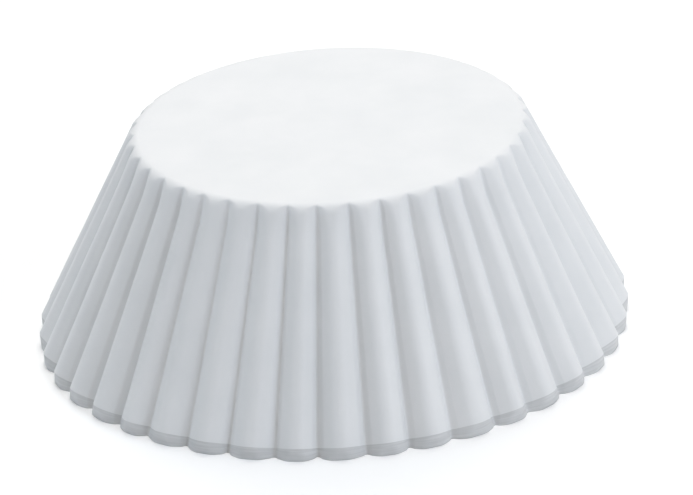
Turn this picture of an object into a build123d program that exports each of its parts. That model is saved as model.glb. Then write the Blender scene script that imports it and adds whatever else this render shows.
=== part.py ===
from build123d import *
import math
import os

# Cupcake liner: one disc of greaseproof paper pressed into a fluted cup.
# It stands mouth down on its rim, with its base on top. +Z is up, and the
# origin is the centre of the circle that the rim rests on. Millimetres.

# ---- overall sizes ----
base_diameter = 50.8        # where the line of the wall meets the base
mouth_diameter = 77.0       # at the rim's crease, over the crests
height = 28.0               # from the foot of the rim to the face of the base
sheet = 0.1                 # thickness of the paper

# ---- rim: a short band, turned in from the flare of the wall ----
rim_height = 1.85
rim_turn_in = 0.15          # how far its foot stands inside its crease

# ---- bend between base and wall ----
shoulder_radius = 1.8       # outer face of the paper

# ---- flutes: grooves side by side, their upper flanks the facets of roof-shaped crests ----
flutes = 42
groove_start_depth = 0.45   # at the sharp corner that the shoulder rounds off
groove_start_share = 0.63   # of a flute's width: the groove's mouth there
groove_run_in = 3.0         # how far down the wall a groove reaches its full form
groove_full_depth = 1.0     # there, square to the wall
groove_crease_depth = 1.7   # where the wall meets the rim, square to the wall
groove_wall_share = 0.8     # of a flute's width, over the wall
groove_foot_depth = 0.95    # at the foot of the rim, where the crests broaden
groove_foot_share = 0.575
facet_share = 0.6           # of a groove's depth: the part with the gentle facets
crimp_share = 0.36          # of a groove's mouth: the steeper crimp under the facets
groove_floor = 0.3          # width at the bottom of the crimp
groove_overrun = 0.15       # how far the tool that presses a groove stands out past the crests

base_radius = base_diameter / 2
crease_radius = mouth_diameter / 2
foot_radius = crease_radius - rim_turn_in

# The path of the paper over a crest, from the middle of the base to the foot.
centre = Vector(0, height)
corner = Vector(base_radius, height)
crease = Vector(crease_radius, rim_height)
foot = Vector(foot_radius, 0)
run_in_end = corner + (crease - corner).normalized() * groove_run_in


def outward(start, end):
    """The direction square to a run of the path, pointing out of the cup."""
    run = (end - start).normalized()
    return Vector(-run.Y, run.X)


def inside(before, point, after, depth):
    """A corner of the path, moved in so that both its runs lie depth deeper."""
    out_before = outward(before, point)
    out_after = outward(point, after)
    return point - (out_before + out_after) * (depth / (1 + out_before.dot(out_after)))


def cup(depth):
    """The solid of revolution under the crests, depth inside the paper's outer face."""
    top = inside(centre, corner, crease, depth)
    side = inside(corner, crease, foot, depth)
    bottom = foot - outward(crease, foot) * (depth / outward(crease, foot).X)
    with BuildPart() as body:
        with BuildSketch(Plane.XZ) as profile:
            with BuildLine():
                Polyline((0, 0), (0, top.Y), top, side, (bottom.X, 0), close=True)
            make_face()
            shoulder = profile.vertices().sort_by(Axis.Y)[-2:].sort_by(Axis.X)[-1]
            fillet(shoulder, shoulder_radius - depth)
        revolve(axis=Axis.Z)
    return body.part


def groove(depth):
    """The tool for one groove on +X, depth larger all round for the inner face."""
    square = outward(corner, crease)
    levels = [
        (foot, Vector(1, 0), groove_foot_depth, groove_foot_share),
        (crease, square, groove_crease_depth, groove_wall_share),
        (run_in_end, square, groove_full_depth, groove_wall_share),
        (corner, Vector(1, 0), groove_start_depth, groove_start_share),
    ]
    with BuildPart() as tool:
        for crest, out, crest_depth, share in levels:
            mouth = share * 2 * math.pi * crest.X / flutes
            facet = crest_depth * facet_share
            crimp = mouth * crimp_share
            brim = crimp + (mouth - crimp) * (1 + groove_overrun / facet)
            level = Plane(
                origin=(crest.X, 0, crest.Y),
                x_dir=(out.X, 0, out.Y),
                z_dir=(-out.Y, 0, out.X),
            )
            with BuildSketch(level):
                Polygon(
                    (-crest_depth, -groove_floor / 2),
                    (-facet, -crimp / 2),
                    (groove_overrun, -brim / 2),
                    (groove_overrun, brim / 2),
                    (-facet, crimp / 2),
                    (-crest_depth, groove_floor / 2),
                    align=None,
                )
                if depth:
                    offset(amount=depth, kind=Kind.INTERSECTION)
        loft(ruled=True)
    return tool.part


def fluted(depth):
    """The whole fluted form, depth inside the paper's outer face."""
    with BuildPart() as form:
        add(cup(depth))
        with PolarLocations(0, flutes, start_angle=-90 + 180 / flutes):
            add(groove(depth), mode=Mode.SUBTRACT)
    return form.part


with BuildPart() as liner:
    add(fluted(0))
    add(fluted(sheet), mode=Mode.SUBTRACT)
liner.part.label = "liner"

os.makedirs("parts", exist_ok=True)
export_step(liner.part, "parts/liner.step")
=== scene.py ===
# A cupcake liner: one fluted cup of thin white greaseproof paper, standing mouth down.

import math

import bpy
import numpy as np
from mathutils import Matrix, Vector, noise


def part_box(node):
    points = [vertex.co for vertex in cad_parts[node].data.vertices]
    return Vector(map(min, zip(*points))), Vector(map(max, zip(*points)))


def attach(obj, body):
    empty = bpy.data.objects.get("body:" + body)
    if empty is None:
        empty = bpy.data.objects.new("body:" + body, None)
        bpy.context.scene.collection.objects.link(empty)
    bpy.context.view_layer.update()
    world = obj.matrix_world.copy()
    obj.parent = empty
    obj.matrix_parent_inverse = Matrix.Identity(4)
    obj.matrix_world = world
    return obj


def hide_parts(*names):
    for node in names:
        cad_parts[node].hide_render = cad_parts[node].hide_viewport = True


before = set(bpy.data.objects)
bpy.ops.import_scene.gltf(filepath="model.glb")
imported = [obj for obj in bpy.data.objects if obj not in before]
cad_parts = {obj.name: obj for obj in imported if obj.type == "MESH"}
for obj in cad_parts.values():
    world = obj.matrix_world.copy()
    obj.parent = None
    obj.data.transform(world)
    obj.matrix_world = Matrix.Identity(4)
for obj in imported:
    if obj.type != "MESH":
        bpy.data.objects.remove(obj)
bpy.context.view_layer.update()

MM = 0.001

# ---- the cup, in the same sizes as the CAD model, but for a slightly narrower crimp ----
low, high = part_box("liner")
HEIGHT = high[2]
CREASE_RADIUS = max(high[0], high[1])
BASE_RADIUS = 25.4 * MM
RIM_HEIGHT = 1.85 * MM
RIM_TURN_IN = 0.15 * MM
SHOULDER_RADIUS = 1.8 * MM
SHEET = 0.1 * MM
FLUTES = 42
GROOVE_FLOOR = 0.3 * MM
GROOVE_START_DEPTH = 0.45 * MM      # at the sharp corner that the shoulder rounds off
GROOVE_START_SHARE = 0.63           # of a flute's width: the groove's mouth there
GROOVE_RUN_IN = 3.0 * MM            # how far down the wall a groove reaches its full form
GROOVE_FULL_DEPTH = 1.0 * MM
GROOVE_CREASE_DEPTH = 1.7 * MM      # where the wall meets the rim
GROOVE_WALL_SHARE = 0.8             # of a flute's width, over the wall
GROOVE_FOOT_DEPTH = 0.95 * MM
GROOVE_FOOT_SHARE = 0.575
CRIMP_SHARE = 0.32      # of a groove's mouth: the narrow, steeper crimp at its bottom
FACET_SHARE = 0.6       # of a groove's depth: how far the facets of the crests go down to the crimp

# ---- how uneven the pressed paper is ----
SEED = 7
DEPTH_GAIN = 1.08       # grooves on the wall against the stated depths, on average
DEPTH_SWAY = 0.08       # share by which grooves differ in depth on the wall
FOOT_SWAY = 0.16        # and at the foot of the rim
GROOVE_SWAY = 0.04      # share of a flute that a groove strays sideways
RIDGE_SWAY = 0.04       # share of a flute that a crest's ridge strays sideways
CREASE_REACH = 0.15 * MM    # how far each side of a crease is rounded
RIDGE_REACH = 0.1       # share of a flute's width over which each side of a crest is rounded
WAVE = 0.035 * MM       # soft waves over the whole sheet
WAVE_SIZE = 6.0 * MM
LEAN = 0.95 * MM        # how far the base stands off the axis
OVAL = 0.004            # share by which the mouth is wider from side to side

# ---- how finely the sheet is divided ----
BASE_ROWS = (0.3, 0.6, 0.9, 0.98)       # shares of the flat base's radius
WALL_ROWS = (0.03, 0.08, 0.15, 0.25, 0.35, 0.45, 0.55, 0.65, 0.75, 0.85, 0.93, 0.97, 0.99, 0.997, 1.0)
RIM_ROWS = (0.04, 0.12, 0.3, 0.5, 0.7, 0.88, 1.0)
SHOULDER_STEPS = 10
CREASE_STEPS = 2
RIDGE_STEPS = 6
NEAR_HALF = 0.48        # a rounding takes less than half of a side, so that two never meet
NARROWEST = 0.3         # share of its mouth that a groove keeps where it fades out


# ---------------------------------------------------------------- the sheet's form

def mixed(first, second, share):
    return first + (second - first) * share


def crest_path():
    """The paper's path over a crest, as rows of (radius, z, outward normal, share of the rim passed)."""
    wall = Vector((CREASE_RADIUS - BASE_RADIUS, RIM_HEIGHT - HEIGHT))
    lean = math.atan2(wall.x, -wall.y)
    turn = math.pi / 2 - lean
    cut = SHOULDER_RADIUS * math.tan(turn / 2)
    flat_radius = BASE_RADIUS - cut
    rows = [(flat_radius * share, HEIGHT, (0.0, 1.0), 0.0) for share in BASE_ROWS]
    for i in range(SHOULDER_STEPS + 1):
        angle = turn * i / SHOULDER_STEPS
        normal = (math.sin(angle), math.cos(angle))
        rows.append((
            flat_radius + SHOULDER_RADIUS * normal[0],
            HEIGHT - SHOULDER_RADIUS + SHOULDER_RADIUS * normal[1],
            normal,
            0.0,
        ))
    normal = (math.cos(lean), math.sin(lean))
    top, length = rows[-1], wall.length - cut
    for share in WALL_ROWS:
        down = length * share
        rows.append((top[0] + math.sin(lean) * down, top[1] - math.cos(lean) * down, normal, 0.0))
    for share in RIM_ROWS:
        outward = (mixed(normal[0], 1.0, share), mixed(normal[1], 0.0, share))
        rows.append((CREASE_RADIUS - RIM_TURN_IN * share, RIM_HEIGHT * (1 - share), outward, share))
    return rows


def groove_size(radius, z, normal, rim):
    """A groove's depth, square to the crest line, and the share of a flute's width that its mouth takes."""
    if rim > 0:
        depth = mixed(GROOVE_CREASE_DEPTH, GROOVE_FOOT_DEPTH, rim)
        return depth, mixed(GROOVE_WALL_SHARE, GROOVE_FOOT_SHARE, rim)
    corner = Vector((BASE_RADIUS, HEIGHT))
    wall = Vector((CREASE_RADIUS, RIM_HEIGHT)) - corner
    down = max(0.0, (Vector((radius, z)) - corner).dot(wall.normalized()))
    if down > GROOVE_RUN_IN:
        passed = (down - GROOVE_RUN_IN) / (wall.length - GROOVE_RUN_IN)
        return mixed(GROOVE_FULL_DEPTH, GROOVE_CREASE_DEPTH, passed), GROOVE_WALL_SHARE
    out = Vector((-wall.y, wall.x)).normalized()
    start = corner - Vector((GROOVE_START_DEPTH, 0))
    end = corner + wall.normalized() * GROOVE_RUN_IN - out * GROOVE_FULL_DEPTH
    bottom = (end - start).normalized()
    square = Vector((-bottom.y, bottom.x))
    depth = max(0.0, (Vector((radius, z)) - start).dot(square) / square.dot(Vector(normal)))
    passed = down / GROOVE_RUN_IN
    full = mixed(GROOVE_START_DEPTH, GROOVE_FULL_DEPTH, passed)
    share = mixed(GROOVE_START_SHARE, GROOVE_WALL_SHARE, passed)
    return depth, share * mixed(NARROWEST, 1.0, min(1.0, depth / full))


class Flute:
    """How one groove, and the crest after it, differ from the rest."""

    def __init__(self, draw):
        self.shift = draw.uniform(-1, 1) * GROOVE_SWAY
        self.drift = draw.uniform(-1, 1) * GROOVE_SWAY
        self.depth = DEPTH_GAIN + draw.uniform(-1, 1) * DEPTH_SWAY
        self.foot_depth = 1 + draw.uniform(-1, 1) * FOOT_SWAY
        self.ridge = draw.uniform(-1, 1) * RIDGE_SWAY


def rounded(before, corner, after, reach, steps):
    """Points that round a corner of the profile, reach out along both its sides."""
    start = corner + (before - corner).normalized() * min(reach, (before - corner).length * NEAR_HALF)
    end = corner + (after - corner).normalized() * min(reach, (after - corner).length * NEAR_HALF)
    points = []
    for i in range(steps + 1):
        t = i / steps
        points.append(start * (1 - t) ** 2 + corner * 2 * t * (1 - t) + end * t ** 2)
    return points


def flute_profile(left, right, pitch, depth, share, rim):
    """One flute, from the middle of its groove to the middle of the next, as (distance along, depth) points."""
    l_depth = depth * mixed(left.depth, left.foot_depth, rim)
    r_depth = depth * mixed(right.depth, right.foot_depth, rim)
    mouth = share * pitch
    facet = depth * FACET_SHARE
    crimp = mouth * CRIMP_SHARE / 2
    floor = min(GROOVE_FLOOR, crimp)
    l_edge = mouth / 2 + left.ridge * pitch
    r_edge = mouth / 2 - left.ridge * pitch
    corners = [
        Vector((0.0, l_depth)),
        Vector((floor / 2, l_depth)),
        Vector((crimp, facet)),
        Vector((l_edge, 0.0)),
        Vector((pitch - r_edge, 0.0)),
        Vector((pitch - crimp, facet)),
        Vector((pitch - floor / 2, r_depth)),
        Vector((pitch, r_depth)),
    ]
    crease = (CREASE_REACH, CREASE_STEPS)
    ridge = (RIDGE_REACH * pitch, RIDGE_STEPS)
    points = [corners[0]]
    for i, (reach, steps) in enumerate((crease, crease, ridge, ridge, crease, crease), start=1):
        points += rounded(corners[i - 1], corners[i], corners[i + 1], reach, steps)
    return points


def outer_face():
    """The outer face of the paper as a grid of points, rows down the cup and columns round it."""
    draw = np.random.default_rng(SEED)
    shapes = [Flute(draw) for _ in range(FLUTES)]
    grid = []
    for radius, z, normal, rim in crest_path():
        pitch = 2 * math.pi * radius / FLUTES
        drop = (HEIGHT - z) / HEIGHT
        depth, groove_share = groove_size(radius, z, normal, rim)
        row = []
        for k, left in enumerate(shapes):
            right = shapes[(k + 1) % FLUTES]
            start = k + left.shift + left.drift * drop
            end = k + 1 + right.shift + right.drift * drop
            width = (end - start) * pitch
            for along, deep in flute_profile(left, right, width, depth, groove_share, rim):
                share = mixed(start, end, along / width)
                angle = -math.pi / 2 + (share + 0.5) * 2 * math.pi / FLUTES
                r = radius - normal[0] * deep
                row.append((r * math.cos(angle), r * math.sin(angle), z - normal[1] * deep))
        grid.append(row)
    return np.array(grid)


def wavy(grid):
    """Soft waves in the sheet and a slight lean of the whole cup; the rim's foot stays on the floor."""
    radius = np.hypot(grid[..., 0], grid[..., 1])
    for index in np.ndindex(grid.shape[:2]):
        point = Vector(grid[index])
        push = noise.noise(point / WAVE_SIZE) * WAVE
        grid[index][0] += point.x / radius[index] * push
        grid[index][1] += point.y / radius[index] * push
    grid[..., 0] *= 1 + OVAL * (1 - grid[..., 2] / HEIGHT)
    grid[..., 0] += LEAN * grid[..., 2] / HEIGHT
    grid[-1, :, 2] = 0.0
    return grid


def sheet_mesh(name, outer, rims):
    """A closed mesh of the sheet: the outer grid, the inner one SHEET behind it, and the cut edge.

    Its UV map holds, as V, the share of the rim passed (0 over the whole wall)."""
    across = np.roll(outer, -1, axis=1) - np.roll(outer, 1, axis=1)
    along = np.gradient(outer, axis=0)
    normal = np.cross(across, along)
    normal /= np.linalg.norm(normal, axis=2, keepdims=True)
    if normal[0, 0, 2] < 0:
        normal = -normal
    inner = outer - normal * SHEET
    inner[-1, :, 2] = 0.0
    rows, columns = outer.shape[:2]
    centre = outer[0].mean(axis=0)
    points = [*outer.reshape(-1, 3), *inner.reshape(-1, 3), centre, centre - (0, 0, SHEET)]
    inside = rows * columns
    middle = 2 * inside
    faces = []
    for c in range(columns):
        d = (c + 1) % columns
        faces.append((middle, c, d))
        faces.append((middle + 1, inside + d, inside + c))
        for r in range(rows - 1):
            here, below = r * columns, (r + 1) * columns
            faces.append((here + c, below + c, below + d, here + d))
            faces.append((inside + here + c, inside + here + d, inside + below + d, inside + below + c))
        foot = (rows - 1) * columns
        faces.append((foot + c, inside + foot + c, inside + foot + d, foot + d))
    mesh = bpy.data.meshes.new(name)
    mesh.from_pydata([tuple(p) for p in points], [], faces)
    mesh.update()
    mesh.shade_smooth()
    layer = mesh.uv_layers.new(name="along_paper")
    for loop in mesh.loops:
        row, column = divmod(loop.vertex_index % inside, columns)
        rim_share = 0.0 if loop.vertex_index >= middle else rims[row]
        layer.data[loop.index].uv = (column / columns, rim_share)
    return mesh


# ---------------------------------------------------------------- paper

def paper():
    """White greaseproof paper: fine fibres, faint clouding and a low sheen."""
    material = bpy.data.materials.new("greaseproof_paper")
    material.use_nodes = True
    nodes = material.node_tree.nodes
    links = material.node_tree.links
    shader = nodes["Principled BSDF"]
    place = nodes.new("ShaderNodeTexCoord")
    cloud = nodes.new("ShaderNodeTexNoise")
    cloud.inputs["Scale"].default_value = 160
    cloud.inputs["Detail"].default_value = 3
    tint = nodes.new("ShaderNodeValToRGB")
    tint.color_ramp.elements[0].position = 0.3
    tint.color_ramp.elements[0].color = (0.793, 0.801, 0.806, 1)
    tint.color_ramp.elements[1].position = 0.7
    tint.color_ramp.elements[1].color = (0.826, 0.83, 0.833, 1)
    fibre = nodes.new("ShaderNodeTexNoise")
    fibre.inputs["Scale"].default_value = 1400
    fibre.inputs["Detail"].default_value = 4
    bump = nodes.new("ShaderNodeBump")
    bump.inputs["Strength"].default_value = 0.12
    bump.inputs["Distance"].default_value = 0.0002
    links.new(place.outputs["Object"], cloud.inputs["Vector"])
    links.new(place.outputs["Object"], fibre.inputs["Vector"])
    links.new(cloud.outputs["Fac"], tint.inputs["Fac"])
    # the rim: painted shade, darker over the whole band, with fine lines of painted shade that run round it
    along = nodes.new("ShaderNodeUVMap")
    along.uv_map = "along_paper"
    split = nodes.new("ShaderNodeSeparateXYZ")
    # mask of the painted rim shade: none over the wall, full just past the crease
    rim_shade_mask = nodes.new("ShaderNodeMapRange")
    rim_shade_mask.inputs["From Max"].default_value = 0.03
    # painted shade over the rim: 0.76 to 0.85 of the paper's colour, in fine lines round it
    painted_shade_lines = nodes.new("ShaderNodeMapRange")
    painted_shade_lines.inputs["From Min"].default_value = 0.35
    painted_shade_lines.inputs["From Max"].default_value = 0.65
    painted_shade_lines.inputs["To Min"].default_value = 0.76
    painted_shade_lines.inputs["To Max"].default_value = 0.85
    stretch = nodes.new("ShaderNodeMapping")
    stretch.inputs["Scale"].default_value = (60, 6, 1)
    shade_line_noise = nodes.new("ShaderNodeTexNoise")
    shade_line_noise.inputs["Scale"].default_value = 1
    shade_line_noise.inputs["Detail"].default_value = 2
    # multiplies the painted rim shade into the paper's colour
    shade = nodes.new("ShaderNodeMix")
    shade.data_type = "RGBA"
    shade.blend_type = "MULTIPLY"
    links.new(along.outputs["UV"], split.inputs["Vector"])
    links.new(along.outputs["UV"], stretch.inputs["Vector"])
    links.new(stretch.outputs["Vector"], shade_line_noise.inputs["Vector"])
    links.new(shade_line_noise.outputs["Fac"], painted_shade_lines.inputs["Value"])
    links.new(split.outputs["Y"], rim_shade_mask.inputs["Value"])
    links.new(rim_shade_mask.outputs["Result"], shade.inputs["Factor"])
    links.new(tint.outputs["Color"], shade.inputs["A"])
    links.new(painted_shade_lines.outputs["Result"], shade.inputs["B"])
    links.new(shade.outputs["Result"], shader.inputs["Base Color"])
    links.new(fibre.outputs["Fac"], bump.inputs["Height"])
    links.new(bump.outputs["Normal"], shader.inputs["Normal"])
    shader.inputs["Roughness"].default_value = 0.62
    shader.inputs["Specular IOR Level"].default_value = 0.35
    return material


def liner():
    """The sheet of paper, in place of the CAD liner."""
    rims = [rim for radius, z, normal, rim in crest_path()]
    mesh = sheet_mesh("paper_liner", wavy(outer_face()), rims)
    piece = bpy.data.objects.new("paper_liner", mesh)
    bpy.context.collection.objects.link(piece)
    mesh.materials.append(paper())
    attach(piece, "root")
    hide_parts("liner")


# ---------------------------------------------------------------- floor, light, camera

FLOOR_REACH = 3.0       # metres from the cup to each edge of the floor
LIT_POINT = Vector((0, 0, 0.01))
COOL = (0.8, 0.88, 1.0)
WARM = (1.0, 0.982, 0.955)
COLD = (0.68, 0.83, 1.0)


def floor():
    mesh = bpy.data.meshes.new("floor")
    corners = [(x * FLOOR_REACH, y * FLOOR_REACH, 0) for x, y in ((-1, -1), (1, -1), (1, 1), (-1, 1))]
    mesh.from_pydata(corners, [], [(0, 1, 2, 3)])
    ground = bpy.data.objects.new("floor", mesh)
    bpy.context.collection.objects.link(ground)
    material = bpy.data.materials.new("pale_floor")
    material.use_nodes = True
    shader = material.node_tree.nodes["Principled BSDF"]
    shader.inputs["Base Color"].default_value = (0.95, 0.95, 0.95, 1)
    shader.inputs["Roughness"].default_value = 0.8
    shader.inputs["Specular IOR Level"].default_value = 0.1
    shader.inputs["Emission Color"].default_value = (1.0, 1.0, 1.0, 1)
    shader.inputs["Emission Strength"].default_value = 0.08
    mesh.materials.append(material)


def soft_light(name, place, size, power, tint):
    """A square light, size metres wide and turned to the cup."""
    data = bpy.data.lights.new(name, "AREA")
    data.shape = "SQUARE"
    data.size = size
    data.energy = power
    data.color = tint
    light = bpy.data.objects.new(name, data)
    bpy.context.collection.objects.link(light)
    light.location = place
    light.rotation_euler = (LIT_POINT - Vector(place)).to_track_quat("-Z", "Y").to_euler()


def studio():
    world = bpy.data.worlds.new("studio")
    bpy.context.scene.world = world
    world.use_nodes = True
    world.node_tree.nodes["Background"].inputs["Color"].default_value = (0.85, 0.93, 1.0, 1)
    world.node_tree.nodes["Background"].inputs["Strength"].default_value = 0.02
    soft_light("above", (0.0, 0.0, 1.2), 1.0, 8.3, WARM)
    soft_light("above_back", (0.0, 0.8, 0.9), 0.8, 7.1, WARM)
    soft_light("right", (1.0, 0.0, 0.45), 0.7, 1.5, WARM)
    soft_light("front_right", (0.78, -0.62, 0.7), 0.7, 5.25, COOL)
    soft_light("left", (-1.0, 0.0, 0.45), 0.7, 2.4, COLD)
    bpy.context.scene.view_settings.view_transform = "Standard"


def camera():
    """The photograph's viewpoint: from in front and above, with a long lens, turned a little on its axis."""
    elevation = math.radians(25.76)
    roll = math.radians(3.78)
    distance = 0.42
    aim = Vector((2.26 * MM, 0, 9.96 * MM))
    back = Vector((0, -math.cos(elevation), math.sin(elevation)))
    data = bpy.data.cameras.new("camera")
    data.lens = 167.5
    data.sensor_width = 36.0
    data.clip_start = 0.01
    eye = bpy.data.objects.new("camera", data)
    bpy.context.collection.objects.link(eye)
    turn = (-back).to_track_quat("-Z", "Y").to_matrix().to_4x4() @ Matrix.Rotation(-roll, 4, "Z")
    eye.matrix_world = Matrix.Translation(aim + back * distance) @ turn
    bpy.context.scene.camera = eye


liner()
floor()
studio()
camera()
